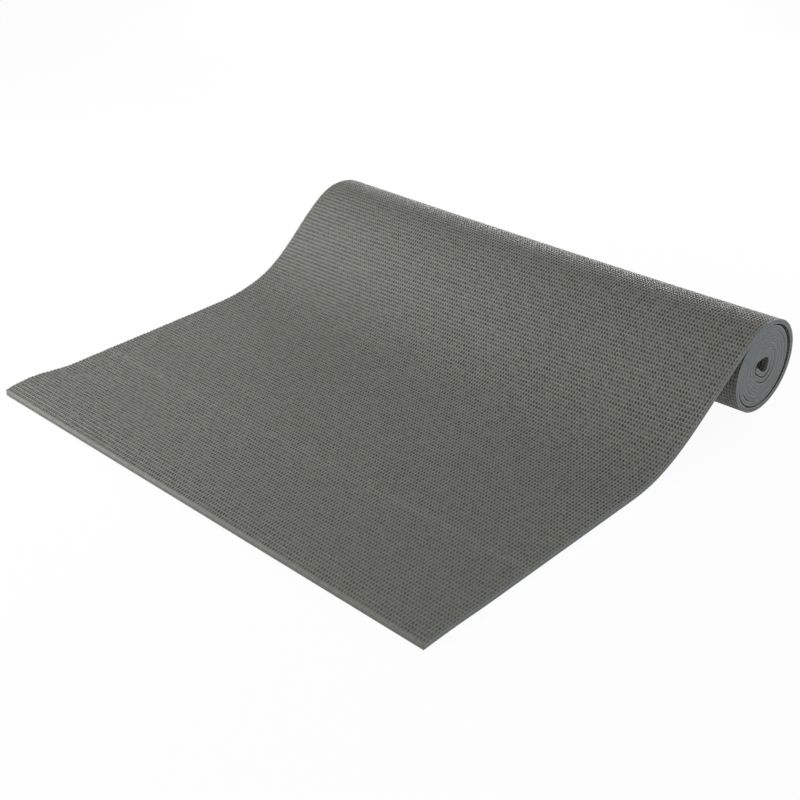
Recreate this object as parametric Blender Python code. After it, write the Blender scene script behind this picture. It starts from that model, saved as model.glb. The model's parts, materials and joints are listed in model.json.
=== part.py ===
"""Fitness mat, partly unrolled, built as one laminated sheet in sections that bend at straight lines.

The sheet lies flat from its front edge, rises over the roll at the back, goes once round it as a
loose outer turn, and winds inward from there. It has three layers: upper foam, scrim, lower foam.
Its length is divided into sections, and each section has its three layers as separate solids.
The sheet is drawn as one line through its upper face. Y runs from the front edge to the roll,
X lies along the roll, and the floor is at z = 0.
"""
import math

import bmesh
import bpy
from mathutils import Vector, geometry

# Sheet
SHEET_WIDTH = 0.610
FOAM_THICKNESS = 0.0021
SCRIM_THICKNESS = 0.0005
LAYER_GAP = 0.0003
SECTION_GAP = 0.0003

# Part that lies on the floor
FLAP_LENGTH = 0.088
PANEL_LENGTH = 0.2018
WAVE_LEFT = 0.0048
WAVE_RIGHT = 0.0009
WAVE_LEAD = 0.025

# Rise over the roll
RISE_REACH = 0.1855
RISE_TWIST = 0.0050
FOOT_HANDLE_SHARE = 0.50
SHOULDER_HANDLE_SHARE = 0.39

# Roll
BORE_RADIUS = 0.0067
TURN_GAP = 0.00045
LOOSE_GAP = 0.0048
TURNS = 6.83
SQUASH_SHARE = 0.055
LEAVE_ANGLE = math.radians(128)
LOOSE_FROM = math.radians(43)
LOOSE_TO = math.radians(300)

# Divisions
FLAP_STEPS = 10
RISE_STEPS = 20
CUTS_ACROSS = 6
STEPS_PER_TURN = 45
OUTER_SECTION_STEPS = 11

# Colours are linear
FOAM_COLOUR = (0.150, 0.152, 0.138, 1)
SCRIM_COLOUR = (0.520, 0.520, 0.490, 1)
FOAM_ROUGHNESS = 0.62
SCRIM_ROUGHNESS = 0.85

SHEET_THICKNESS = 2 * FOAM_THICKNESS + 2 * LAYER_GAP + SCRIM_THICKNESS
TURN_PITCH = (SHEET_THICKNESS + TURN_GAP) / (1 - SQUASH_SHARE)
ROLL_RADIUS = BORE_RADIUS + SHEET_THICKNESS + TURN_PITCH * TURNS
STEP_ANGLE = math.tau / STEPS_PER_TURN
ROLL_STEPS = round(TURNS * STEPS_PER_TURN)


class Station:
    """A place along the sheet: a point on the upper face, and how much each side edge is lifted."""

    def __init__(self, y, z, left_lift=0, right_lift=0):
        self.point = Vector((y, z))
        self.left_lift = left_lift
        self.right_lift = right_lift
        self.direction = Vector((1, 0))

    def moved(self, distance):
        """The same station, further along the sheet."""
        point = self.point + self.direction * distance
        station = Station(point.x, point.y, self.left_lift, self.right_lift)
        station.direction = self.direction
        return station

    def below(self, depth):
        """The point at a depth under the upper face, square to the sheet."""
        normal = Vector((-self.direction.y, self.direction.x))
        return self.point - normal * depth


def empty_scene():
    for scene_object in list(bpy.data.objects):
        bpy.data.objects.remove(scene_object, do_unlink=True)


def roll_point(turned):
    """A point of the upper face on the roll, about the roll's centre, at an angle from where it leaves."""
    around = LEAVE_ANGLE - turned
    loose_share = min(max((turned - LOOSE_FROM) / (LOOSE_TO - LOOSE_FROM), 0), 1)
    looseness = LOOSE_GAP * math.sin(math.pi * loose_share) ** 2
    radius = ROLL_RADIUS - TURN_PITCH * turned / math.tau + looseness
    radius *= 1 + SQUASH_SHARE * math.cos(2 * around)
    return Vector((radius * math.cos(around), radius * math.sin(around)))


def flat_stations():
    """From the front edge to the foot of the rise, with the low wave along the front edge."""
    stations = []
    for step in range(FLAP_STEPS + 1):
        along = FLAP_LENGTH * step / FLAP_STEPS
        wave_share = math.sin(math.pi * (along + WAVE_LEAD) / (FLAP_LENGTH + WAVE_LEAD)) ** 2
        stations.append(Station(along, SHEET_THICKNESS, WAVE_LEFT * wave_share, WAVE_RIGHT * wave_share))
    stations.append(Station(FLAP_LENGTH + PANEL_LENGTH, SHEET_THICKNESS))
    return stations


def roll_stations():
    """The spiral, placed so that its lowest point is on the floor and its start is at the rise's end."""
    around_centre = [roll_point(step * STEP_ANGLE) for step in range(ROLL_STEPS + 1)]
    shoulder = around_centre[0]
    centre_y = FLAP_LENGTH + PANEL_LENGTH + RISE_REACH - shoulder.x
    centre_z = -min(point.y for point in around_centre)
    return [Station(centre_y + point.x, centre_z + point.y) for point in around_centre]


def rise_stations(foot, shoulder):
    """A curve from the floor to the roll, tangent to both, with one side higher than the other."""
    step_back = roll_point(-STEP_ANGLE)
    step_on = roll_point(STEP_ANGLE)
    leaving = (step_on - step_back).normalized()
    points = geometry.interpolate_bezier(
        foot.point,
        foot.point + Vector((RISE_REACH * FOOT_HANDLE_SHARE, 0)),
        shoulder.point - leaving * RISE_REACH * SHOULDER_HANDLE_SHARE,
        shoulder.point,
        RISE_STEPS + 1,
    )
    stations = []
    for step, point in enumerate(points[1:-1], start=1):
        lift = RISE_TWIST * math.sin(math.pi * step / RISE_STEPS) ** 2
        stations.append(Station(point.x, point.y, -lift, lift))
    return stations


def set_directions(stations):
    """Each station's direction halves the angle between the straight pieces on its two sides."""
    for index, station in enumerate(stations):
        before = stations[max(index - 1, 0)].point
        after = stations[min(index + 1, len(stations) - 1)].point
        total = Vector((0, 0))
        if before != station.point:
            total += (station.point - before).normalized()
        if after != station.point:
            total += (after - station.point).normalized()
        station.direction = total.normalized()


def sheet_stations():
    flat = flat_stations()
    roll = roll_stations()
    stations = flat + rise_stations(flat[-1], roll[0]) + roll
    set_directions(stations)
    centre_y = max(station.point.x for station in stations) / 2
    for station in stations:
        station.point.x -= centre_y
    return stations


def section_ends():
    """The first station and the last one of each section, in order from the front edge."""
    shoulder = FLAP_STEPS + 1 + RISE_STEPS
    ends = {
        "front_flap": (0, FLAP_STEPS),
        "flat_panel": (FLAP_STEPS, FLAP_STEPS + 1),
        "rising_panel": (FLAP_STEPS + 1, shoulder),
    }
    start = shoulder
    for name in ("outer_turn_top", "outer_turn_back", "outer_turn_bottom"):
        ends[name] = (start, start + OUTER_SECTION_STEPS)
        start += OUTER_SECTION_STEPS
    ends["roll_core"] = (start, shoulder + ROLL_STEPS)
    return ends


def layer_depths():
    """Depths of each layer's two faces under the upper face."""
    scrim_top = FOAM_THICKNESS + LAYER_GAP
    lower_top = scrim_top + SCRIM_THICKNESS + LAYER_GAP
    return {
        "upper_foam": (0, FOAM_THICKNESS),
        "scrim": (scrim_top, scrim_top + SCRIM_THICKNESS),
        "lower_foam": (lower_top, lower_top + FOAM_THICKNESS),
    }


def hinge_point(station):
    """A bend line lies in the upper face, so the sections open without pressing on each other."""
    return Vector((0, station.point.x, station.point.y))


def make_material(name, colour, roughness):
    material = bpy.data.materials.new(name)
    material.use_nodes = True
    material.diffuse_color = colour
    shader = material.node_tree.nodes["Principled BSDF"]
    shader.inputs["Base Color"].default_value = colour
    shader.inputs["Roughness"].default_value = roughness
    shader.inputs["Metallic"].default_value = 0
    return material


def cut_across(strip, right_side):
    """Cut a twisted sheet into narrower faces, so that layers that lie close keep the same shape."""
    long_edges = [edge for edge in strip.edges if len(right_side.intersection(edge.verts)) == 1]
    bmesh.ops.subdivide_edges(strip, edges=long_edges, cuts=CUTS_ACROSS)


def bend_sheet(stations, depths, pivot):
    """A strip one face deep, pushed across the width and bent along the stations."""
    steps = len(stations) - 1
    strip = bmesh.new()
    bmesh.ops.create_grid(strip, x_segments=steps, y_segments=1, size=1)
    pushed = bmesh.ops.extrude_face_region(strip, geom=strip.faces[:])
    right_side = {item for item in pushed["geom"] if isinstance(item, bmesh.types.BMVert)}
    for vertex in strip.verts:
        station = stations[round((vertex.co.x + 1) / 2 * steps)]
        depth = depths[0] if vertex.co.y > 0 else depths[1]
        point = station.below(depth)
        on_right = vertex in right_side
        lift = station.right_lift if on_right else station.left_lift
        side = SHEET_WIDTH / 2 if on_right else -SHEET_WIDTH / 2
        vertex.co = Vector((side, point.x, point.y + lift)) - pivot
    if any(station.left_lift != station.right_lift for station in stations):
        cut_across(strip, right_side)
    bmesh.ops.recalc_face_normals(strip, faces=strip.faces[:])
    mesh = bpy.data.meshes.new("sheet")
    strip.to_mesh(mesh)
    strip.free()
    return mesh


def add_layer(section, layer, stations, pivot, parent, collection):
    name = section + "_" + layer
    mesh = bend_sheet(stations, layer_depths()[layer], pivot)
    mesh.name = name
    if layer == "scrim":
        mesh.materials.append(make_material(name, SCRIM_COLOUR, SCRIM_ROUGHNESS))
    else:
        mesh.materials.append(make_material(name, FOAM_COLOUR, FOAM_ROUGHNESS))
    solid = bpy.data.objects.new(name, mesh)
    solid.parent = parent
    collection.objects.link(solid)


def add_pivot(section, point, parent, collection):
    """An empty on the section's bend line, held by the section that it bends from."""
    pivot = bpy.data.objects.new(section + "_pivot", None)
    pivot.empty_display_size = SHEET_THICKNESS
    pivot.parent = parent
    pivot.location = point
    collection.objects.link(pivot)
    return pivot


def least_turn_gap(stations):
    """The least distance from the sheet's lower face to the turn under it, on points along both."""
    rise_start = FLAP_STEPS + 1
    first_full_turn = rise_start + RISE_STEPS + STEPS_PER_TURN
    least = ROLL_RADIUS
    for index in range(rise_start, len(stations)):
        under = stations[index].below(SHEET_THICKNESS)
        nearest = max(index + STEPS_PER_TURN, first_full_turn)
        for other in range(nearest - 2, nearest + 2):
            if first_full_turn - 1 <= other < len(stations) - 1:
                start = stations[other].point
                end = stations[other + 1].point
                closest, share = geometry.intersect_point_line(under, start, end)
                closest = start.lerp(end, min(max(share, 0), 1))
                least = min(least, (under - closest.to_2d()).length)
    return least


def sheet_length(stations):
    middles = [station.below(SHEET_THICKNESS / 2) for station in stations]
    return sum((after - before).length for before, after in zip(middles, middles[1:]))


def build():
    empty_scene()
    collection = bpy.data.collections.new("Fitness mat")
    bpy.context.scene.collection.children.link(collection)
    stations = sheet_stations()
    ends = section_ends()
    # The flat panel is the base, the flap bends from its front end, and the rest from its back end
    base_point = hinge_point(stations[ends["flat_panel"][0]])
    points = {name: hinge_point(stations[first]) for name, (first, last) in ends.items()}
    points["front_flap"] = base_point
    held_by = {"front_flap": "flat_panel", "rising_panel": "flat_panel"}
    turning = ["rising_panel", "outer_turn_top", "outer_turn_back", "outer_turn_bottom", "roll_core"]
    held_by.update(zip(turning[1:], turning))
    pivots = {"flat_panel": add_pivot("flat_panel", base_point, None, collection)}
    for name in ["front_flap"] + turning:
        holder = held_by[name]
        offset = points[name] - points[holder]
        pivots[name] = add_pivot(name, offset, pivots[holder], collection)
    for name, (first, last) in ends.items():
        own = stations[first:last + 1]
        if first:
            own[0] = own[0].moved(SECTION_GAP)
        for layer in layer_depths():
            add_layer(name, layer, own, points[name], pivots[name], collection)
    for name in ["front_flap"] + turning:
        place = ", ".join("%.5f" % value for value in points[name])
        print("bend line of", name, "at", place)
    lean = stations[ends["outer_turn_top"][0]].direction
    print("sheet length %.1f mm" % (sheet_length(stations) * 1000))
    print("least gap of the roll to itself %.3f mm" % (least_turn_gap(stations) * 1000))
    print("slope where the sheet meets the roll %.1f degrees" % math.degrees(math.atan2(lean.y, lean.x)))


build()
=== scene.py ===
"""Looks of the fitness mat: two foam layers with a woven scrim between them, partly unrolled.

The sheet is drawn as one line through its upper face, from the front edge to its end inside the roll.
It is divided in the middle of each CAD section between the flap and the core, and once more just past
the core's joint. "Across" is along X, "along" is the distance from the front edge measured on the sheet,
and "depth" is measured down from the upper face. All sizes are in metres. SHEET_WIDTH is the CAD's, and
is set once the frame is loaded.
"""
import json
import math

import bpy
import numpy as np
from mathutils import Matrix, Vector

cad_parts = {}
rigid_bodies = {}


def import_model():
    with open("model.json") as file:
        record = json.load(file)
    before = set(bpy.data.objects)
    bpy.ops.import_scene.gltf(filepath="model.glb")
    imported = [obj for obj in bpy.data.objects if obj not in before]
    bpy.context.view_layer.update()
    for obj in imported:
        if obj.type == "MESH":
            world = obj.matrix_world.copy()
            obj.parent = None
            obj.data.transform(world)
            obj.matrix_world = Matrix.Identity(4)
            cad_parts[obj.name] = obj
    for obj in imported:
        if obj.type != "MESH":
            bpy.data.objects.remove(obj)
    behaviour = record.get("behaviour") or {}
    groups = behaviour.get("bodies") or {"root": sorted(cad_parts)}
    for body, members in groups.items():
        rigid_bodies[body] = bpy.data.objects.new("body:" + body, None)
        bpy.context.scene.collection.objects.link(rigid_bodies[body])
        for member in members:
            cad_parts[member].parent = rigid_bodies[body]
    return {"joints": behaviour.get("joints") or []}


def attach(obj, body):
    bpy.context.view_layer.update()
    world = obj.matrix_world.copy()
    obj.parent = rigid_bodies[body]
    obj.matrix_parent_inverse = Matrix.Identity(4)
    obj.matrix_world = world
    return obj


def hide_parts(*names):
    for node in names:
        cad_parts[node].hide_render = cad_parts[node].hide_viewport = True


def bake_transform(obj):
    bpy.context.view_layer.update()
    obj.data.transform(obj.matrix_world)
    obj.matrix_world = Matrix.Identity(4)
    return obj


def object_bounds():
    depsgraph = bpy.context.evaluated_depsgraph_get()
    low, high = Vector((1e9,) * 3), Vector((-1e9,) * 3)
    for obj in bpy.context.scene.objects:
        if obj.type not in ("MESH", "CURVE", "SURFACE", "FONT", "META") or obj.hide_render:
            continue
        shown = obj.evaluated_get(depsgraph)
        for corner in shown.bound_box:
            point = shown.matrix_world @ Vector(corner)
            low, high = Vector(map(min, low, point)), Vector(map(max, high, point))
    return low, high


# Sheet
SHEET_THICKNESS = 0.0053
SCRIM_THICKNESS = 0.0005
SCRIM_RECESS = 0.00015
ARRIS = 0.00025

# Front edge: its left corner is rounded and draws in the cells near it, and its upper edge is rounded over
CORNER_ROUNDING = 0.005
CORNER_REACH = 5 * CORNER_ROUNDING
SHOULDER_LENGTH = 0.0036
SHOULDER_DROP = 0.0013
SHOULDER_ROW = 0.0009

# Part that lies on the floor
FLAP_LENGTH = 0.088
FLAT_LENGTH = 0.2898
WAVE_LEFT = 0.0050
WAVE_RIGHT = 0.0009
WAVE_LEAD = 0.025

# Rise over the roll
RISE_REACH = 0.1855
RISE_TWIST = 0.0050
FOOT_HANDLE_SHARE = 0.50
SHOULDER_HANDLE_SHARE = 0.39

# Roll, with its outer turn loose and the others touching
ROLL_RADIUS = 0.05356
OUTER_TURN_SHRINK = 0.00608
SQUASH_SHARE = 0.055
LOOSE_BULGE = 0.0048
LEAVE_ANGLE = math.radians(128)
LOOSE_FROM = math.radians(43)
LOOSE_TO = math.radians(300)
CLOSING_FROM = math.radians(300)
TURNS = 6.86
STRAIGHT_END_ANGLE = math.radians(52)
SEAM_GAP = 0.00008
# Seams that stand open: number of the turn inside the seam, middle, half width and opening
OPEN_SEAMS = (
    (1, math.radians(-8), math.radians(100), 0.0058),
    (1, math.radians(-125), math.radians(75), 0.0011),
    (2, math.radians(15), math.radians(50), 0.0005),
    (2, math.radians(-134), math.radians(32), 0.0006),
    (3, math.radians(-140), math.radians(16), 0.0004),
    (5, math.radians(-50), math.radians(110), 0.0013),
    (6, math.radians(-60), math.radians(115), 0.0015),
)
# Turns that are less pressed on one side: number of the turn, middle, half width and growth
SWELLS = (
    (0, math.radians(-45), math.radians(110), 0.0012),
    (1, math.radians(90), math.radians(80), 0.0004),
    (2, math.radians(90), math.radians(80), 0.0004),
    (3, math.radians(90), math.radians(80), 0.0004),
    (4, math.radians(90), math.radians(80), 0.0004),
    (5, math.radians(90), math.radians(80), 0.0004),
    (2, math.radians(-128), math.radians(95), 0.0015),
    (3, math.radians(-132), math.radians(95), 0.0015),
    (4, math.radians(-136), math.radians(95), 0.0015),
    (2, math.radians(0), math.radians(75), 0.0009),
    (3, math.radians(0), math.radians(75), 0.0009),
    (4, math.radians(0), math.radians(75), 0.0009),
    (5, math.radians(0), math.radians(90), 0.0006),
)

# Hand-rolled unevenness: the right end of the roll lies further back and is a little larger
SWEEP = 0.0059
TAPER = 0.0128
UNEVEN_POWER = 2.2
END_LIFT = 0.0018
END_LIFT_POWER = 4

# Net pattern of the foam's faces: flat pits between narrow ridges, in rows that lean
CELL_ACROSS = 0.00348
CELL_ALONG = 0.00468
EDGE_CELL_SHARE = 0.4
PIT_DEPTH = 0.00105
PIT_LEAN = 0.36
ROW_FLAT = 0.27
ROW_RIDGE = 0.48
COLUMN_FLAT = 0.13
COLUMN_RIDGE = 0.45
SIDE_RIDGE_DEPTH = 0.28
CROSS_RIDGE_DEPTH = 0.16
DEPTH_SPREAD = (0.65, 1.15)
DEPTH_SEED = 7

# Margins without pits: at the right cut, and from where to where the pits set in at the front
RIGHT_MARGIN = 0.0012
FRONT_MARGIN = (0.0022, 0.0045)

# Worn corner, at the front and the right, whose pits are shallower; toward it the face is also darkened
# with painted shade
WORN_AND_SHADE_RADIUS = 0.38
WORN_SHARE = 0.30

# Line across the sheet where it was pressed, so that its pits are shallower, and which is painted paler as
# painted light
PRESSED_ALONG = 0.135
PRESSED_HALF_WIDTH = 0.009
PRESSED_SHARE = 0.3

# Divisions of the meshes
COARSE_COLUMNS = 12
LINE_STEPS_PER_DEGREE = 4
FLAT_LINE_STEP = 0.0005
RISE_LINE_STEPS = 600
CORE_ROW_STEP = 0.002
SHARP_ANGLE = math.radians(62)

# Distances from a cut: up to where a point lies on it, and from where the mesh has pits and inner points
ON_CUT = ARRIS / 2
PITS_FROM = 1.5 * ARRIS
COARSE_FROM = 2 * ARRIS
CELLS_FROM = 2.5 * ARRIS

# Flat map of a piece, as shares of its height: the finer face, the plainer face and four cuts, with gaps
MAP_FINE_UPPER = 0.78
MAP_PLAIN_UPPER = 0.10
MAP_FACES = 0.88
MAP_CUT = 0.02
MAP_GAP = 0.01

# Bends of the posed mat
FOLD_LENGTH = 0.022
TURN_BEND_LENGTH = 0.094
# The last seam lies this share of a bend past the core's joint
CORE_SEAM_SHARE = 0.75

# Camera, at the photograph's viewing angle
CAMERA_PLACE = Vector((0.8705, -0.8953, 0.7139))
CAMERA_TURN = math.radians(43.84)
CAMERA_TILT = math.radians(30.01)
CAMERA_ROLL = math.radians(-0.75)
SENSOR_WIDTH_MM = 36
FOCAL_LENGTH_MM = 60.57

# Foam's face. Each noise is read between the two values of its range. One mixes the two greys, one
# changes the roughness, and the others multiply the colour by a value between their two shades
NOISE_RANGE = (0.3, 0.7)
PATCH_SCALE = 95
PATCH_RANGE = (0.38, 0.62)
GRAIN_SCALE = 700
GRAIN_RANGE = (0.25, 0.75)
GRAIN_SHADES = (0.78, 1.22)
GRAIN_BUMP = 0.00008
SPECKLE_SCALE = 300
SPECKLE_SHADES = (0.84, 1.16)
BROAD_SCALE = 7
BROAD_SHADES = (0.97, 1.03)
# Painted light: the pressed line is painted paler by this factor
PRESSED_LINE_PAINTED_LIGHT = 1.10
# Painted shade: the face is darkened by this factor toward the near right corner
CORNER_PAINTED_SHADE = 0.76
# How deep a pit starts to take painted shade and is fully shaded, and how strong its painted shade is, by
# chance between two shares
PIT_PAINTED_SHADE_RANGE = (0.15, 0.85)
PIT_PAINTED_SHADE_STRENGTH = (0.6, 1.0)
RIDGE_ROUGHNESS = 0.44
PIT_ROUGHNESS = 0.70
ROUGHNESS_SCALE = 420
ROUGHNESS_CHANGE = 0.05
MARGIN_ROUGHNESS = 0.25

# Foam where it is cut
STREAK_SCALE = 160
STREAK_RANGE = (0.35, 0.65)
OPEN_CELL_SCALE = 1600
OPEN_CELL_REACH = 0.35
OPEN_CELL_PAINTED_SHADE = 0.25
OPEN_CELL_BUMP = 0.00008
CUT_NOISE_SCALE = 700
CUT_ROUGHNESS = (0.60, 0.78)

# Scrim's weave
THREAD_SPACING = 0.0009
SCRIM_ROUGHNESS = 0.85

# Studio
WORLD_STRENGTH = 0.45
FLOOR_REACH = 12
FLOOR_ROUGHNESS = 0.9
FLOOR_GLOW_SHARE = 0.95
# Soft white lamps that face the origin: name, place, size and power in watts
LAMPS = (
    ("key", (-1.1, -0.9, 0.8), (0.5, 0.5), 15.8),
    ("left", (-0.8, -0.1, 0.7), (0.4, 0.4), 1.7),
    ("front_right", (1.0, -0.8, 0.2), (0.5, 0.3), 1.5),
    ("right", (1.5, 0.3, 0.8), (0.8, 0.6), 1.2),
    ("back", (0.0, 1.6, 1.0), (1.6, 0.7), 1.3),
    ("back_left", (-0.5, 0.75, 0.5), (0.4, 0.3), 0.5),
    ("rim", (0.0, 1.5, 0.32), (1.4, 0.2), 11.0),
    ("rim_left", (-1.15, 1.45, 0.26), (0.9, 0.2), 6.0),
)


def srgb(red, green, blue):
    """A colour of 0 to 255 steps as the linear colour that the shader takes."""
    linear = []
    for value in (red, green, blue):
        share = value / 255
        linear.append(share / 12.92 if share <= 0.04045 else ((share + 0.055) / 1.055) ** 2.4)
    return (*linear, 1)


OLIVE_GREY = srgb(121, 123, 113)
VIOLET_GREY = srgb(118, 118, 115)
# Painted shade: the grey toward which the pits, the open cells of the cuts and the gaps of the weave are
# darkened
PAINTED_SHADE_GREY = srgb(46, 47, 44)
CUT_GREY = srgb(126, 132, 132)
CUT_GREY_DARK = srgb(119, 124, 124)
SCRIM_GREY = srgb(128, 131, 127)
FLOOR_GREY = srgb(236, 237, 238)


def smooth_step(values, start, end):
    """0 before the start and 1 after the end, with a smooth rise between."""
    share = np.clip((values - start) / (end - start), 0, 1)
    return share * share * (3 - 2 * share)


def bump_at(angles, middle, half_width):
    """A smooth hump of height 1 round an angle, which is 0 past its half width."""
    off = np.abs((angles - middle + math.pi) % math.tau - math.pi)
    return np.cos(np.clip(off / half_width, 0, 1) * math.pi / 2) ** 2


class RollLine:
    """The upper face on the roll, as points about the roll's centre, from the shoulder inward."""

    def __init__(self):
        per_turn = 360 * LINE_STEPS_PER_DEGREE
        self.turned = np.arange(round(TURNS * per_turn) + 1) * math.tau / per_turn
        around = LEAVE_ANGLE - self.turned
        self.thickness = SHEET_THICKNESS + self.humps(SWELLS, around)
        gaps = SEAM_GAP + self.humps(OPEN_SEAMS, around)
        loose_share = np.clip((self.turned - LOOSE_FROM) / (LOOSE_TO - LOOSE_FROM), 0, 1)
        radii = ROLL_RADIUS - OUTER_TURN_SHRINK * self.turned / math.tau
        radii += LOOSE_BULGE * np.sin(math.pi * loose_share) ** 2
        radii *= 1 + SQUASH_SHARE * np.cos(2 * around)
        # The first turn closes up to the sheet that leaves the roll
        meeting = radii[0] - self.thickness[0] - SEAM_GAP
        closing = smooth_step(self.turned[: per_turn + 1], CLOSING_FROM, math.tau)
        radii[: per_turn + 1] += (meeting - radii[per_turn]) * closing
        # Each further turn lies inside the one before it
        for first in range(per_turn, len(radii), per_turn):
            here = slice(first, min(first + per_turn, len(radii)))
            outside = slice(here.start - per_turn, here.stop - per_turn)
            radii[here] = radii[outside] - self.thickness[outside] - gaps[here]
        self.y = radii * np.cos(around)
        self.z = radii * np.sin(around)
        self.straighten_end()

    def humps(self, rows, around):
        """The sum of humps that each lie on one turn, given as turn, middle, half width and height."""
        total = np.zeros_like(self.turned)
        for number, middle, half_width, height in rows:
            middle_turn = number + (LEAVE_ANGLE - middle) % math.tau / math.tau
            near = np.abs(self.turned / math.tau - middle_turn) < 0.5
            total += height * bump_at(around, middle, half_width) * near
        return total

    def straighten_end(self):
        """The stiff inner end doesn't follow the last turn: its last stretch is straight."""
        count = int((self.turned >= self.turned[-1] - STRAIGHT_END_ANGLE).sum())
        for values in (self.y, self.z):
            values[-count:] = np.linspace(values[-count], values[-1], count)


class SheetLine:
    """The upper face from the front edge to the inner end, read by the distance along it."""

    def __init__(self, front_y):
        roll = RollLine()
        foot_y = front_y + FLAT_LENGTH
        shoulder_y = foot_y + RISE_REACH
        roll_y = shoulder_y - roll.y[0] + roll.y
        roll_z = roll.z - roll.z.min()
        flat_y = np.arange(0, FLAT_LENGTH, FLAT_LINE_STEP) + front_y
        rise_y, rise_z = self.rise(foot_y, roll_y, roll_z)
        self.y = np.concatenate([flat_y, rise_y, roll_y])
        self.z = np.concatenate([np.full_like(flat_y, SHEET_THICKNESS), rise_z, roll_z])
        self.thickness = np.full_like(self.y, SHEET_THICKNESS)
        self.thickness[-len(roll_y):] = roll.thickness
        self.left_lift, self.right_lift = self.lifts(flat_y - front_y, len(rise_y), len(roll_y))
        steps = np.hypot(np.diff(self.y), np.diff(self.z))
        self.along = np.concatenate([[0], np.cumsum(steps)])
        self.slope = np.unwrap(np.arctan2(np.gradient(self.z), np.gradient(self.y)))
        self.roll_middle_y = float(shoulder_y - roll.y[0])
        self.on_roll = smooth_step(self.along, FLAT_LENGTH, self.along[-len(roll_y)])

    @staticmethod
    def rise(foot_y, roll_y, roll_z):
        """A curve from the floor to the roll, tangent to both."""
        leaving = np.array([roll_y[1] - roll_y[0], roll_z[1] - roll_z[0]])
        leaving /= np.hypot(*leaving)
        foot = np.array([foot_y, SHEET_THICKNESS])
        shoulder = np.array([roll_y[0], roll_z[0]])
        foot_handle = foot + np.array([RISE_REACH * FOOT_HANDLE_SHARE, 0])
        shoulder_handle = shoulder - leaving * RISE_REACH * SHOULDER_HANDLE_SHARE
        share = np.linspace(0, 1, RISE_LINE_STEPS, endpoint=False)[:, None]
        points = foot * (1 - share) ** 3 + foot_handle * 3 * share * (1 - share) ** 2
        points += shoulder_handle * 3 * share ** 2 * (1 - share) + shoulder * share ** 3
        return points[:, 0], points[:, 1]

    @staticmethod
    def lifts(flat_along, rise_count, roll_count):
        """How much the left edge and the right edge are lifted above the line."""
        wave = np.sin(math.pi * (flat_along + WAVE_LEAD) / (FLAP_LENGTH + WAVE_LEAD)) ** 2
        wave[flat_along > FLAP_LENGTH] = 0
        twist = RISE_TWIST * np.sin(np.linspace(0, math.pi, rise_count, endpoint=False)) ** 2
        level = np.zeros(roll_count)
        left = np.concatenate([WAVE_LEFT * wave, -twist, level])
        right = np.concatenate([WAVE_RIGHT * wave, twist, level])
        return left, right

    def read(self, values, along):
        return np.interp(along, self.along, values)

    def nearest(self, y, z):
        """The distance along the sheet of the line's point that lies nearest to a place."""
        return self.along[np.argmin(np.hypot(self.y - y, self.z - z))]

    def places(self, across, along, depth):
        """Points at a depth under the upper face, given as a share of the sheet's thickness."""
        right_share = across / SHEET_WIDTH + 0.5
        left_lift = self.read(self.left_lift, along)
        lift = left_lift + (self.read(self.right_lift, along) - left_lift) * right_share
        slope = self.read(self.slope, along)
        below = depth * self.read(self.thickness, along)
        y = self.read(self.y, along) + np.sin(slope) * below
        z = self.read(self.z, along) + lift - np.cos(slope) * below
        y, z = self.uneven(y, z, np.clip(right_share, 0, 1), self.read(self.on_roll, along))
        # The left corner of the front edge is rounded, and the cells near it are drawn in
        from_corner = np.clip(1 - along / CORNER_ROUNDING, 0, 1)
        inset = CORNER_ROUNDING * (1 - np.sqrt(1 - from_corner ** 2))
        nearness = np.clip(1 - (across + SHEET_WIDTH / 2) / CORNER_REACH, 0, 1) ** 2
        x = across + inset * nearness
        return np.stack(np.broadcast_arrays(x, y, z), axis=-1)

    def uneven(self, y, z, right_share, on_roll):
        """The roll's sweep, taper and lift from its left end to its right end."""
        change = on_roll * (right_share ** UNEVEN_POWER - 1 / (UNEVEN_POWER + 1))
        taper = 1 + TAPER * change
        y = self.roll_middle_y + (y - self.roll_middle_y) * taper + SWEEP * change
        z = z * taper + END_LIFT * on_roll * right_share ** END_LIFT_POWER
        return y, z


def first_column():
    """Where the net's first ridge would lie: the left cut runs through its first column of pits."""
    return -SHEET_WIDTH / 2 - EDGE_CELL_SHARE * CELL_ACROSS


def first_row():
    """The front cut runs through the net's first row of pits, too."""
    return -EDGE_CELL_SHARE * CELL_ALONG


def plateau(offset, flat, ridge):
    """1 on a pit's floor and 0 on its ridge, by the offset from its middle as a share of a cell."""
    return 1 - smooth_step(np.abs(offset), flat, ridge)


def cell_offsets(across, along):
    """A place's offsets from the middle of its cell, as shares of a cell, and how far the pit leans."""
    row_offset = (along - first_row()) / CELL_ALONG % 1 - 0.5
    lean = PIT_LEAN * row_offset * plateau(row_offset, ROW_FLAT, 0.5)
    column_offset = ((across - first_column()) / CELL_ACROSS + lean) % 1 - 0.5
    return column_offset, row_offset, lean


def pit_share(across, along):
    """How deep the net is at a place: 0 where its ridges cross and 1 on the floor of a pit."""
    column_offset, row_offset, _ = cell_offsets(across, along)
    column = plateau(column_offset, COLUMN_FLAT, COLUMN_RIDGE)
    row = plateau(row_offset, ROW_FLAT, ROW_RIDGE)
    both = 1 - SIDE_RIDGE_DEPTH - CROSS_RIDGE_DEPTH
    return SIDE_RIDGE_DEPTH * row + CROSS_RIDGE_DEPTH * column + both * row * column


def shoulder_drop(along):
    """How far the face falls toward the front cut, whose upper edge is rounded over."""
    left = np.clip(1 - along / SHOULDER_LENGTH, 0, 1)
    return SHOULDER_DROP * (1 - np.sqrt(1 - left ** 2))


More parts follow.
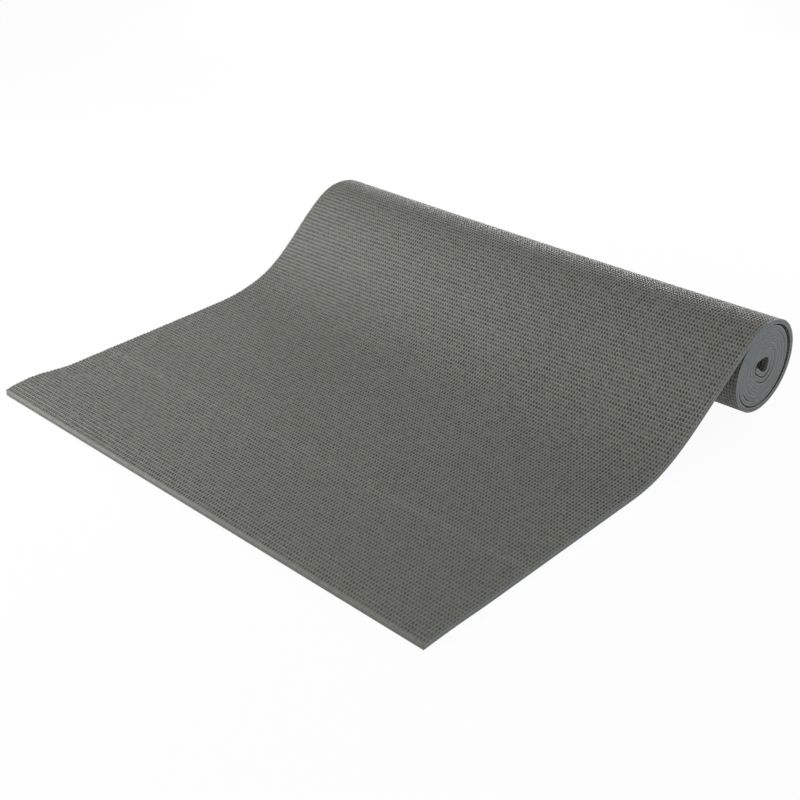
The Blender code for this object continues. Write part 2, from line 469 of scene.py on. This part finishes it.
def depth_factors(across, along):
    """Each pit's own depth, less on the pressed line, at the worn corner and toward the margins."""
    columns = ((across - first_column()) // CELL_ACROSS).astype(int)
    rows = ((along - first_row()) // CELL_ALONG).astype(int)
    count = (rows.max() + 1, columns.max() + 1)
    cells = np.random.default_rng(DEPTH_SEED).uniform(*DEPTH_SPREAD, count)
    off_line = np.clip(np.abs(along - PRESSED_ALONG) / PRESSED_HALF_WIDTH, 0, 1)
    pressed = PRESSED_SHARE * np.cos(off_line * math.pi / 2) ** 2
    from_right = SHEET_WIDTH / 2 - across
    worn = WORN_SHARE * (1 - smooth_step(np.hypot(from_right, along), 0, WORN_AND_SHADE_RADIUS))
    inside = smooth_step(from_right, 0, RIGHT_MARGIN) * smooth_step(along, *FRONT_MARGIN)
    return cells[rows, columns] * (1 - pressed) * (1 - worn) * inside


def cell_columns():
    """Places across the sheet: two on each pit's floor, one on each ridge, and the cuts' arrises."""
    half = SHEET_WIDTH / 2
    count = math.ceil(SHEET_WIDTH / CELL_ACROSS) + 1
    cells = first_column() + CELL_ACROSS * np.arange(count)
    offsets = CELL_ACROSS * np.array([0, 0.5 - COLUMN_FLAT, 0.5 + COLUMN_FLAT])
    inner = (cells[:, None] + offsets).ravel()
    inner = inner[np.abs(inner) < half - CELLS_FROM]
    return np.concatenate([[-half, ARRIS - half], inner, [half - ARRIS, half]])


def coarse_columns():
    """Places across a plain face, which has no pits in its mesh."""
    half = SHEET_WIDTH / 2
    middle = np.linspace(COARSE_FROM - half, half - COARSE_FROM, COARSE_COLUMNS)
    return np.concatenate([[-half, ARRIS - half], middle, [half - ARRIS, half]])


def cell_rows(start, end):
    """Places along the sheet: two on each pit's floor, one on each ridge, and the piece's own ends."""
    first = math.floor((start - first_row()) / CELL_ALONG)
    last = math.ceil((end - first_row()) / CELL_ALONG)
    cells = first_row() + CELL_ALONG * np.arange(first, last)
    offsets = CELL_ALONG * np.array([0, 0.5 - ROW_FLAT, 0.5 + ROW_FLAT])
    inner = (cells[:, None] + offsets).ravel()
    inner = inner[(inner > start + CELLS_FROM) & (inner < end - ARRIS)]
    if start == 0:
        inner = np.concatenate([[ARRIS, SHOULDER_ROW], inner])
    return np.concatenate([[start], inner, [end]])


def core_rows(start, end):
    return np.linspace(start, end, round((end - start) / CORE_ROW_STEP) + 1)


class Layer:
    """One layer's depths as shares of the sheet's thickness, and how far it lies back from the cuts."""

    def __init__(self, top, bottom, recess):
        self.top = top
        self.bottom = bottom
        self.recess = recess


def layers():
    scrim_share = SCRIM_THICKNESS / SHEET_THICKNESS
    return {
        "upper_foam": Layer(0, 0.5 - scrim_share / 2, 0),
        "scrim": Layer(0.5 - scrim_share / 2, 0.5 + scrim_share / 2, SCRIM_RECESS),
        "lower_foam": Layer(0.5 + scrim_share / 2, 1, 0),
    }


class LayerMesh:
    """A closed layer of the sheet: an upper grid, a lower grid, two side cuts and two ends."""

    def __init__(self, line, layer, rows, upper_columns, lower_columns, pits):
        self.rows = rows
        self.upper_columns = upper_columns
        self.lower_columns = lower_columns
        upper, upper_flat = self.face_points(line, layer, layer.top, upper_columns, pits)
        lower, lower_flat = self.face_points(line, layer, layer.bottom, lower_columns, False)
        self.points = np.concatenate([upper.reshape(-1, 3), lower.reshape(-1, 3)])
        self.sheet_places = np.concatenate([upper_flat.reshape(-1, 3), lower_flat.reshape(-1, 3)])

    def face_points(self, line, layer, depth, columns, pits):
        """Points of one face, in the frame and on the flat sheet.

        An outer face has its arris rounded off, and leaning pits where they are wanted.
        """
        across, along = np.meshgrid(columns, self.rows)
        at_side = np.abs(across) > SHEET_WIDTH / 2 - ON_CUT
        inward = layer.recess * np.sign(across) * at_side
        below = np.full_like(across, depth * SHEET_THICKNESS)
        flat = np.stack([across, along, below], axis=-1)
        if pits:
            inside = np.abs(across) < SHEET_WIDTH / 2 - PITS_FROM
            across = across - inside * cell_offsets(across, along)[2] * CELL_ACROSS
            flat[..., 0] = across
            below += PIT_DEPTH * pit_share(across, along) * depth_factors(across, along)
        if depth in (0, 1):
            on_cut = at_side | (along < ON_CUT)
            below += ARRIS * on_cut * (1 if depth == 0 else -1)
        if depth == 0:
            below += shoulder_drop(along)
        front = np.where(along == 0, layer.recess, along)
        return line.places(across - inward, front, below / SHEET_THICKNESS), flat

    def corner(self, row, column, lower=False):
        """The number of a point of the upper grid or the lower grid."""
        if lower:
            start = len(self.rows) * len(self.upper_columns)
            return start + row * len(self.lower_columns) + column
        return row * len(self.upper_columns) + column

    def grid(self, columns, lower):
        """The quads of the upper face or the lower face."""
        cells = (np.arange(len(self.rows) - 1), np.arange(len(columns) - 1))
        row, column = np.meshgrid(*cells, indexing="ij")
        corners = [(row, column), (row, column + 1), (row + 1, column + 1), (row + 1, column)]
        if lower:
            corners.reverse()
        return np.stack([self.corner(r, c, lower) for r, c in corners], axis=-1).reshape(-1, 4)

    def side(self, on_right):
        """The quads of one side cut."""
        row = np.arange(len(self.rows) - 1)
        upper = len(self.upper_columns) - 1 if on_right else 0
        lower = len(self.lower_columns) - 1 if on_right else 0
        near, far = (row + 1, row) if on_right else (row, row + 1)
        corners = [
            self.corner(near, upper),
            self.corner(far, upper),
            self.corner(far, lower, True),
            self.corner(near, lower, True),
        ]
        return np.stack(corners, axis=-1)

    def end(self, row, at_back):
        """The one face that closes the piece at its first or last row."""
        upper = self.corner(row, np.arange(len(self.upper_columns)))
        lower = self.corner(row, np.arange(len(self.lower_columns)), True)
        loop = np.concatenate([upper[::-1], lower])
        return loop[::-1] if at_back else loop

    def build(self, name):
        """The mesh, shaded smooth but for the cuts' edges, with each point's place on the flat sheet."""
        parts = [
            self.grid(self.upper_columns, False),
            self.grid(self.lower_columns, True),
            self.side(False),
            self.side(True),
        ]
        ends = [self.end(0, False), self.end(len(self.rows) - 1, True)]
        mesh = self.new_mesh(name, parts, ends)
        mesh.validate()
        mesh.shade_smooth()
        mesh.set_sharp_from_angle(angle=SHARP_ANGLE)
        place = mesh.attributes.new("sheet_place", "FLOAT_VECTOR", "POINT")
        place.data.foreach_set("vector", self.sheet_places.ravel())
        self.lay_out(mesh, parts, ends)
        return mesh

    def new_mesh(self, name, parts, ends):
        """The points and faces. The side cuts and the last end have slot 1 and the rest slot 0.

        So the first end, which is the front cut of the front piece, looks like the faces.
        """
        quads = np.concatenate(parts)
        corners = np.concatenate([quads.ravel(), *ends])
        sizes = np.concatenate([np.full(len(quads), 4), [len(loop) for loop in ends]])
        starts = np.concatenate([[0], np.cumsum(sizes)[:-1]])
        slots = np.ones(len(sizes), np.int32)
        slots[: len(parts[0]) + len(parts[1])] = 0
        slots[-2] = 0
        mesh = bpy.data.meshes.new(name)
        mesh.vertices.add(len(self.points))
        mesh.vertices.foreach_set("co", self.points.ravel())
        mesh.loops.add(len(corners))
        mesh.loops.foreach_set("vertex_index", corners.astype(np.int32))
        mesh.polygons.add(len(sizes))
        mesh.polygons.foreach_set("loop_start", starts.astype(np.int32))
        mesh.polygons.foreach_set("material_index", slots)
        mesh.update(calc_edges=True)
        return mesh

    def lay_out(self, mesh, parts, ends):
        """A flat map of the piece: its upper face, its lower face and its cuts one above the other."""
        places = self.sheet_places
        across = places[:, 0] / SHEET_WIDTH + 0.5
        along = (places[:, 1] - places[:, 1].min()) / np.ptp(places[:, 1])
        depth = (places[:, 2] - places[:, 2].min()) / np.ptp(places[:, 2])
        upper_is_fine = len(self.upper_columns) > len(self.lower_columns)
        divide = MAP_FINE_UPPER if upper_is_fine else MAP_PLAIN_UPPER
        bands = [(0, divide), (divide + MAP_GAP, MAP_FACES)]
        for number in range(4):
            low = MAP_FACES + MAP_GAP + number * (MAP_CUT + MAP_GAP)
            bands.append((low, low + MAP_CUT))
        directions = [(across, along)] * 2 + [(along, depth)] * 2 + [(across, depth)] * 2
        pieces = []
        for (low, high), (u, v), loop in zip(bands, directions, parts + ends):
            points = loop.ravel()
            pieces.append(np.stack([u[points], low + (high - low) * v[points]], axis=-1))
        uv_map = mesh.uv_layers.new(name="OFBake")
        uv_map.uv.foreach_set("vector", np.concatenate(pieces).ravel())


class NodeTree:
    """A material's nodes, with short calls to add them and link them."""

    def __init__(self, material):
        material.use_nodes = True
        self.tree = material.node_tree
        self.shader = self.tree.nodes["Principled BSDF"]

    def feed(self, socket, value):
        """Link an input to an output, or give it a plain value."""
        if isinstance(value, bpy.types.NodeSocket):
            self.tree.links.new(value, socket)
        else:
            socket.default_value = value

    def add(self, kind, inputs=(), **settings):
        node = self.tree.nodes.new(kind)
        for name, value in settings.items():
            setattr(node, name, value)
        for key, value in dict(inputs).items():
            self.feed(node.inputs[key], value)
        return node

    def math(self, operation, first, second=0.0):
        return self.add("ShaderNodeMath", {0: first, 1: second}, operation=operation).outputs[0]

    def noise(self, place, scale, detail=3, roughness=0.55):
        inputs = {"Vector": place, "Scale": scale, "Detail": detail, "Roughness": roughness}
        return self.add("ShaderNodeTexNoise", inputs).outputs["Fac"]

    def spread(self, value, low, high, to_low=0.0, to_high=1.0, kind="LINEAR"):
        inputs = {"Value": value, "From Min": low, "From Max": high, "To Min": to_low, "To Max": to_high}
        return self.add("ShaderNodeMapRange", inputs, interpolation_type=kind).outputs["Result"]

    def mix(self, factor, first, second, blend="MIX"):
        """A colour between two others, or the two multiplied."""
        node = self.add("ShaderNodeMix", data_type="RGBA", blend_type=blend)
        for key, value in (("Factor", factor), (6, first), (7, second)):
            self.feed(node.inputs[key], value)
        return node.outputs[2]

    def between(self, share, first, second):
        """A number between two others."""
        return self.add("ShaderNodeMix", {0: share, 2: first, 3: second}).outputs[0]

    def place(self):
        """The place on the flat sheet, which the mesh keeps for each of its points."""
        return self.add("ShaderNodeAttribute", attribute_name="sheet_place").outputs["Vector"]

    def bump(self, height, distance):
        return self.add("ShaderNodeBump", {"Height": height, "Distance": distance})

    def finish(self, colour, roughness, normal=None):
        """Feed the shader."""
        self.feed(self.shader.inputs["Base Color"], colour)
        self.feed(self.shader.inputs["Roughness"], roughness)
        if normal is not None:
            self.feed(self.shader.inputs["Normal"], normal.outputs[0])


class NetPattern:
    """The same pits as pit_share, for the colours, which take painted shade in the pits, and for the faces
    that have no pits in their mesh.
    """

    def __init__(self, nodes, place):
        apart = nodes.add("ShaderNodeSeparateXYZ", {0: place})
        self.along = apart.outputs[1]
        row = self.cell(nodes, self.along, first_row(), CELL_ALONG)
        row_offset = self.offset(nodes, row)
        column = self.cell(nodes, apart.outputs[0], first_column(), CELL_ACROSS)
        lean = nodes.math("MULTIPLY", row_offset, self.plateau(nodes, row_offset, ROW_FLAT, 0.5))
        column = nodes.math("ADD", column, nodes.math("MULTIPLY", lean, PIT_LEAN))
        across_share = self.plateau(nodes, self.offset(nodes, column), COLUMN_FLAT, COLUMN_RIDGE)
        along_share = self.plateau(nodes, row_offset, ROW_FLAT, ROW_RIDGE)
        on_ridge = nodes.math("MULTIPLY", across_share, CROSS_RIDGE_DEPTH)
        in_row = nodes.spread(across_share, 0, 1, SIDE_RIDGE_DEPTH, 1)
        pits = nodes.between(along_share, on_ridge, in_row)
        from_right = nodes.math("SUBTRACT", SHEET_WIDTH / 2, apart.outputs[0])
        pits = nodes.math("MULTIPLY", pits, nodes.spread(from_right, 0, RIGHT_MARGIN))
        self.pits = nodes.math("MULTIPLY", pits, nodes.spread(self.along, *FRONT_MARGIN))
        # How much of the pits is kept toward the worn corner, which also spreads the painted shade there
        corner = {0: place, 1: (SHEET_WIDTH / 2, 0, 0)}
        from_corner = nodes.add("ShaderNodeVectorMath", corner, operation="DISTANCE").outputs["Value"]
        self.kept = nodes.spread(from_corner, 0, WORN_AND_SHADE_RADIUS, 1 - WORN_SHARE, 1, "SMOOTHSTEP")
        cell = {0: nodes.math("FLOOR", column), 1: nodes.math("FLOOR", row)}
        number = nodes.add("ShaderNodeCombineXYZ", cell).outputs[0]
        self.chance = nodes.add("ShaderNodeTexWhiteNoise", {"Vector": number}).outputs["Value"]

    @staticmethod
    def cell(nodes, value, first, size):
        return nodes.math("DIVIDE", nodes.math("SUBTRACT", value, first), size)

    @staticmethod
    def offset(nodes, cell):
        return nodes.math("SUBTRACT", nodes.math("FRACT", cell), 0.5)

    @staticmethod
    def plateau(nodes, offset, flat, ridge):
        distance = nodes.math("ABSOLUTE", offset)
        return nodes.spread(distance, flat, ridge, 1, 0, "SMOOTHSTEP")

    def pressed(self, nodes):
        """1 in the middle of the pressed line and 0 away from it: where light is painted on the face."""
        off = nodes.math("ABSOLUTE", nodes.math("SUBTRACT", self.along, PRESSED_ALONG))
        return nodes.spread(off, 0, PRESSED_HALF_WIDTH, 1, 0, "SMOOTHSTEP")


def face_shade(nodes, place, net, grain):
    """Grain, speckle and broad change, painted light on the pressed line and painted shade at the worn
    corner.
    """
    shade = nodes.spread(grain, *GRAIN_RANGE, *GRAIN_SHADES)
    for scale, shades in ((SPECKLE_SCALE, SPECKLE_SHADES), (BROAD_SCALE, BROAD_SHADES)):
        noise = nodes.noise(place, scale, detail=2)
        shade = nodes.math("MULTIPLY", shade, nodes.spread(noise, *NOISE_RANGE, *shades))
    # Painted light on the pressed line
    shade = nodes.math("MULTIPLY", shade, nodes.spread(net.pressed(nodes), 0, 1, 1, PRESSED_LINE_PAINTED_LIGHT))
    # Painted shade toward the near right corner
    shade = nodes.math("MULTIPLY", shade, nodes.spread(net.kept, 1 - WORN_SHARE, 1, CORNER_PAINTED_SHADE, 1))
    return nodes.add("ShaderNodeCombineColor", {0: shade, 1: shade, 2: shade}).outputs[0]


def face_colour(nodes, place, net, grain):
    """Olive grey with faint violet patches, and painted shade in the pits."""
    patches = nodes.spread(nodes.noise(place, PATCH_SCALE, detail=2), *PATCH_RANGE)
    colour = nodes.mix(patches, OLIVE_GREY, VIOLET_GREY)
    colour = nodes.mix(1.0, colour, face_shade(nodes, place, net, grain), "MULTIPLY")
    # Painted shade in the pits, less at the worn corner, with a strength that varies by chance
    pit_painted_shade = nodes.spread(net.pits, *PIT_PAINTED_SHADE_RANGE, 0, 1, "SMOOTHSTEP")
    pit_painted_shade = nodes.math("MULTIPLY", pit_painted_shade, net.kept)
    painted_shade = nodes.math("MULTIPLY", pit_painted_shade, nodes.spread(net.chance, 0, 1, *PIT_PAINTED_SHADE_STRENGTH))
    return nodes.mix(painted_shade, colour, PAINTED_SHADE_GREY)


def face_roughness(nodes, place, net):
    """Satin ridges, and rougher pits and front margin."""
    noise = nodes.noise(place, ROUGHNESS_SCALE)
    change = nodes.spread(noise, *NOISE_RANGE, -ROUGHNESS_CHANGE, ROUGHNESS_CHANGE)
    pits = nodes.spread(net.pits, 0, 1, RIDGE_ROUGHNESS, PIT_ROUGHNESS)
    margin = nodes.spread(net.along, 0, FRONT_MARGIN[1], MARGIN_ROUGHNESS, 0)
    return nodes.math("ADD", nodes.math("ADD", change, pits), margin)


def face_material(name, pits_in_mesh):
    """The foam's embossed face, whose pits are relief here where the mesh has none."""
    material = bpy.data.materials.new(name)
    nodes = NodeTree(material)
    place = nodes.place()
    net = NetPattern(nodes, place)
    grain = nodes.noise(place, GRAIN_SCALE, detail=4, roughness=0.7)
    fine = nodes.bump(grain, GRAIN_BUMP)
    if not pits_in_mesh:
        coarse = nodes.bump(nodes.math("SUBTRACT", 0.0, net.pits), PIT_DEPTH)
        nodes.feed(fine.inputs["Normal"], coarse.outputs[0])
    nodes.finish(face_colour(nodes, place, net, grain), face_roughness(nodes, place, net), fine)
    return material


def cut_material():
    """The foam where it is cut: smooth, bluish grey, with fine open cells darkened by painted shade."""
    material = bpy.data.materials.new("foam_cut")
    nodes = NodeTree(material)
    place = nodes.place()
    streaks = nodes.spread(nodes.noise(place, STREAK_SCALE), *STREAK_RANGE)
    colour = nodes.mix(streaks, CUT_GREY_DARK, CUT_GREY)
    cell_inputs = {"Vector": place, "Scale": OPEN_CELL_SCALE}
    cells = nodes.add("ShaderNodeTexVoronoi", cell_inputs).outputs["Distance"]
    # Painted shade in the open cells of the cut
    pore_painted_shade = nodes.spread(cells, 0, OPEN_CELL_REACH, OPEN_CELL_PAINTED_SHADE, 0)
    colour = nodes.mix(pore_painted_shade, colour, PAINTED_SHADE_GREY)
    roughness = nodes.spread(nodes.noise(place, CUT_NOISE_SCALE), *NOISE_RANGE, *CUT_ROUGHNESS)
    nodes.finish(colour, roughness, nodes.bump(cells, OPEN_CELL_BUMP))
    return material


def scrim_material():
    """The woven scrim, whose threads run both ways, with painted shade between them."""
    material = bpy.data.materials.new("scrim_weave")
    nodes = NodeTree(material)
    apart = nodes.add("ShaderNodeSeparateXYZ", {0: nodes.place()})
    threads = []
    for output in (0, 1):
        turns = nodes.math("MULTIPLY", apart.outputs[output], math.tau / THREAD_SPACING)
        threads.append(nodes.math("COSINE", turns))
    weave = nodes.math("MULTIPLY", threads[0], threads[1])
    # Painted shade between the threads
    colour = nodes.mix(nodes.spread(weave, -1, 1), PAINTED_SHADE_GREY, SCRIM_GREY)
    nodes.finish(colour, SCRIM_ROUGHNESS)
    return material


def hinges(frame):
    """Each hinge's place and its two sections, in order from the front edge."""
    return [(Vector(joint["pos_m"]), joint["parent"], joint["child"]) for joint in frame["joints"]]


class Zone:
    """A stretch of the sheet, which is one piece in each layer: where it lies and where it bends."""

    def __init__(self, name, section, start, end, bodies, bend_start=None, bend_end=None, fine=True):
        self.name = name
        self.section = section
        self.start = start
        self.end = end
        self.bodies = bodies
        self.bend_start = bend_start
        self.bend_end = bend_end
        self.fine = fine


def to_cell(along):
    """The middle of a row of pits, on whose flat floors a seam between two pieces doesn't show."""
    return first_row() + (math.floor((along - first_row()) / CELL_ALONG) + 0.5) * CELL_ALONG


def sheet_zones(line, frame):
    """The pieces of the sheet, which meet in the middles of sections and just past the core's joint."""
    flap, lift, top, back, bottom, core = hinges(frame)
    at = {}
    for key, hinge in (("top", top), ("back", back), ("bottom", bottom), ("core", core)):
        at[key] = line.nearest(hinge[0].y, hinge[0].z)
    seams = [
        to_cell(FLAP_LENGTH + (FLAT_LENGTH - FLAP_LENGTH) / 2),
        to_cell((FLAT_LENGTH + at["top"]) / 2),
        to_cell((at["top"] + at["back"]) / 2),
        to_cell((at["back"] + at["bottom"]) / 2),
        to_cell((at["bottom"] + at["core"]) / 2),
        to_cell(at["core"] + CORE_SEAM_SHARE * TURN_BEND_LENGTH),
    ]

    def ahead(key, distance):
        """The point of the line at a distance past a hinge."""
        along = at[key] + distance
        return Vector((0, float(line.read(line.y, along)), float(line.read(line.z, along))))

    flap_end = flap[0] - Vector((0, FOLD_LENGTH, 0))
    lift_end = lift[0] + Vector((0, FOLD_LENGTH, 0))
    zones = [
        Zone("front", "front_flap", 0, seams[0], flap[1:], flap[0], flap_end),
        Zone("middle", "flat_panel", seams[0], seams[1], lift[1:], lift[0], lift_end),
    ]
    turning = (
        ("rise", "rising_panel", "top", top),
        ("turn_top", "outer_turn_top", "back", back),
        ("turn_back", "outer_turn_back", "bottom", bottom),
        ("turn_bottom", "outer_turn_bottom", "core", core),
    )
    for number, (name, section, key, hinge) in enumerate(turning, start=1):
        bend = (ahead(key, -TURN_BEND_LENGTH / 2), ahead(key, TURN_BEND_LENGTH / 2))
        zones.append(Zone(name, section, seams[number], seams[number + 1], hinge[1:], *bend))
    zones.append(Zone("core", "roll_core", seams[-1], line.along[-1], ("roll_core",), fine=False))
    return zones


def layer_slots(layer_name, fine, materials):
    """A layer's materials, on its faces and on its cuts."""
    if layer_name == "scrim":
        return materials["scrim"], materials["scrim"]
    return materials["pitted" if fine else "embossed"], materials["cut"]


def declare(piece, zone, layer_name):
    """A piece within one section moves with its body, and one with a bend keeps its points in the frame.
    The CAD node that it stands for is hidden.
    """
    if zone.bend_start is None:
        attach(piece, zone.bodies[0])
    else:
        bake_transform(piece)
    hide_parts(zone.section + "_" + layer_name)


def add_layer(line, zone, layer_name, layer, materials):
    """One layer of one zone, as an object that stands for the CAD node of its section."""
    name = "mat_" + zone.name + "_" + layer_name
    fine = zone.fine and layer_name == "upper_foam"
    rows = cell_rows(zone.start, zone.end) if zone.fine else core_rows(zone.start, zone.end)
    upper_columns = cell_columns() if fine else coarse_columns()
    mesh = LayerMesh(line, layer, rows, upper_columns, coarse_columns(), fine).build(name)
    for material in layer_slots(layer_name, fine, materials):
        mesh.materials.append(material)
    piece = bpy.data.objects.new(name, mesh)
    bpy.context.scene.collection.objects.link(piece)
    declare(piece, zone, layer_name)


def add_sheet(frame, line):
    materials = {
        "pitted": face_material("foam_face_pitted", True),
        "embossed": face_material("foam_face_embossed", False),
        "cut": cut_material(),
        "scrim": scrim_material(),
    }
    for zone in sheet_zones(line, frame):
        for layer_name, layer in layers().items():
            add_layer(line, zone, layer_name, layer, materials)


def add_camera():
    camera_data = bpy.data.cameras.new("camera")
    camera_data.sensor_width = SENSOR_WIDTH_MM
    camera_data.lens = FOCAL_LENGTH_MM
    camera = bpy.data.objects.new("camera", camera_data)
    turn = Matrix.Rotation(CAMERA_TURN, 4, "Z")
    tilt = Matrix.Rotation(math.pi / 2 - CAMERA_TILT, 4, "X")
    roll = Matrix.Rotation(CAMERA_ROLL, 4, "Z")
    camera.matrix_world = Matrix.Translation(CAMERA_PLACE) @ turn @ tilt @ roll
    bpy.context.scene.collection.objects.link(camera)
    bpy.context.scene.camera = camera


def add_soft_light(name, place, size, power):
    light_data = bpy.data.lights.new(name, "AREA")
    light_data.shape = "RECTANGLE"
    light_data.size, light_data.size_y = size
    light_data.energy = power
    light = bpy.data.objects.new(name, light_data)
    light.location = place
    light.rotation_euler = (-Vector(place)).to_track_quat("-Z", "Y").to_euler()
    bpy.context.scene.collection.objects.link(light)


def add_world():
    """Pale even light from all round, which the camera sees as white."""
    world = bpy.data.worlds.new("studio")
    bpy.context.scene.world = world
    world.use_nodes = True
    tree = world.node_tree
    even = tree.nodes["Background"]
    even.inputs["Strength"].default_value = WORLD_STRENGTH
    even.inputs["Color"].default_value = (1, 1, 1, 1)
    white = tree.nodes.new("ShaderNodeBackground")
    white.inputs["Color"].default_value = (1, 1, 1, 1)
    seen = tree.nodes.new("ShaderNodeLightPath")
    mixed = tree.nodes.new("ShaderNodeMixShader")
    tree.links.new(seen.outputs["Is Camera Ray"], mixed.inputs[0])
    tree.links.new(even.outputs[0], mixed.inputs[1])
    tree.links.new(white.outputs[0], mixed.inputs[2])
    tree.links.new(mixed.outputs[0], tree.nodes["World Output"].inputs[0])


def add_floor():
    """A plain pale floor that the camera and the foam's gloss see nearly white, with a soft shadow."""
    mesh = bpy.data.meshes.new("floor")
    signs = ((-1, -1), (1, -1), (1, 1), (-1, 1))
    corners = [(x * FLOOR_REACH, y * FLOOR_REACH, 0) for x, y in signs]
    mesh.from_pydata(corners, [], [(0, 1, 2, 3)])
    material = bpy.data.materials.new("floor")
    nodes = NodeTree(material)
    nodes.finish(FLOOR_GREY, FLOOR_ROUGHNESS)
    nodes.shader.inputs["Specular IOR Level"].default_value = 0
    glow = nodes.add("ShaderNodeEmission")
    seen = nodes.add("ShaderNodeLightPath")
    either = nodes.math("MAXIMUM", seen.outputs["Is Camera Ray"], seen.outputs["Is Glossy Ray"])
    share = nodes.math("MULTIPLY", either, FLOOR_GLOW_SHARE)
    shaders = {0: share, 1: nodes.shader.outputs[0], 2: glow.outputs[0]}
    mixed = nodes.add("ShaderNodeMixShader", shaders)
    nodes.feed(nodes.tree.nodes["Material Output"].inputs[0], mixed.outputs[0])
    mesh.materials.append(material)
    floor = bpy.data.objects.new("floor", mesh)
    bpy.context.scene.collection.objects.link(floor)


for leftover in list(bpy.data.objects):
    bpy.data.objects.remove(leftover, do_unlink=True)
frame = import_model()
cad_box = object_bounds()
SHEET_WIDTH = cad_box[1].x - cad_box[0].x
add_camera()
add_sheet(frame, SheetLine(cad_box[0].y))
for lamp in LAMPS:
    add_soft_light(*lamp)
add_world()
add_floor()
bpy.context.scene.view_settings.view_transform = "Standard"
